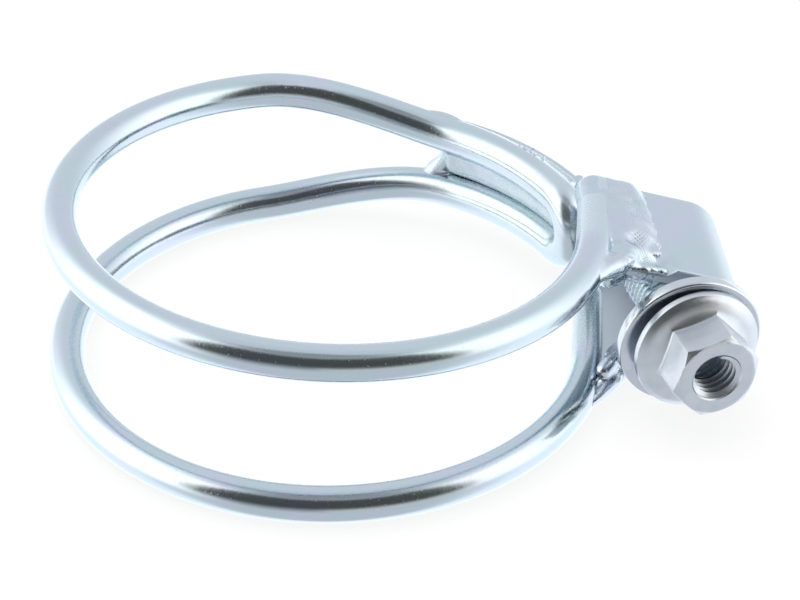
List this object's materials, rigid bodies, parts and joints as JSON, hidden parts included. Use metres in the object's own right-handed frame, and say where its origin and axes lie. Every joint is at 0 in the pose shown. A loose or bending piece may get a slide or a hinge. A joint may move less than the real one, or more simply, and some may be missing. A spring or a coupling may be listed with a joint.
{
  "type": "wire pipe clamp",
  "caption": "Pipe clamp of one round wire bent double, its tongue drawn into a welded saddle by a flange nut on a stud.",
  "frame": {"origin": "on the axis of the clamped pipe, level with the underside of the lower strand, which the clamp rests on", "axes": "+Z along the pipe's axis, up from the lower strand to the upper one; +X towards the saddle and stud; +Y towards the closed end's tongue"},
  "size_m": [0.1157, 0.092, 0.0338],
  "materials": {
    "zinc_wire": "bright zinc plating, glossy",
    "zinc_sheet": "bright zinc plating, satin",
    "zinc_stud": "bright zinc plating on a thread",
    "zinc_weld": "zinc plated weld bead, rippled",
    "washer_steel": "stamped, semi-gloss",
    "nut_steel": "machined, semi-gloss"
  },
  "bodies": {
    "clamp": {"wire_loop": "zinc_wire", "saddle": "zinc_sheet", "anchor_plate": "zinc_sheet", "stud": "zinc_stud", "saddle_weld_upper": "zinc_weld", "saddle_weld_lower": "zinc_weld", "anchor_weld_upper": "zinc_weld", "anchor_weld_lower": "zinc_weld", "anchor_weld_end": "zinc_weld", "stud_weld_upper": "zinc_weld", "stud_weld_lower": "zinc_weld"},
    "washer": {"washer": "washer_steel"},
    "nut": {"flange_nut": "nut_steel"}
  },
  "joints": [
    {"name": "washer_slide", "type": "slide", "parent": "clamp", "child": "washer", "axis": [0.3255, -0.9452, 0.0262], "range_m": [-0.00219, 0.00375]},
    {"name": "nut_turn", "type": "hinge", "parent": "washer", "child": "nut", "pos_m": [0.05884, -0.01484, 0.01377], "axis": [0.3255, -0.9452, 0.0262], "range_deg": [-630, 1080]}
  ],
  "couplings": [
    {"joint": "washer_slide", "follows": "nut_turn", "m_per_rad": 0.00019894}
  ]
}
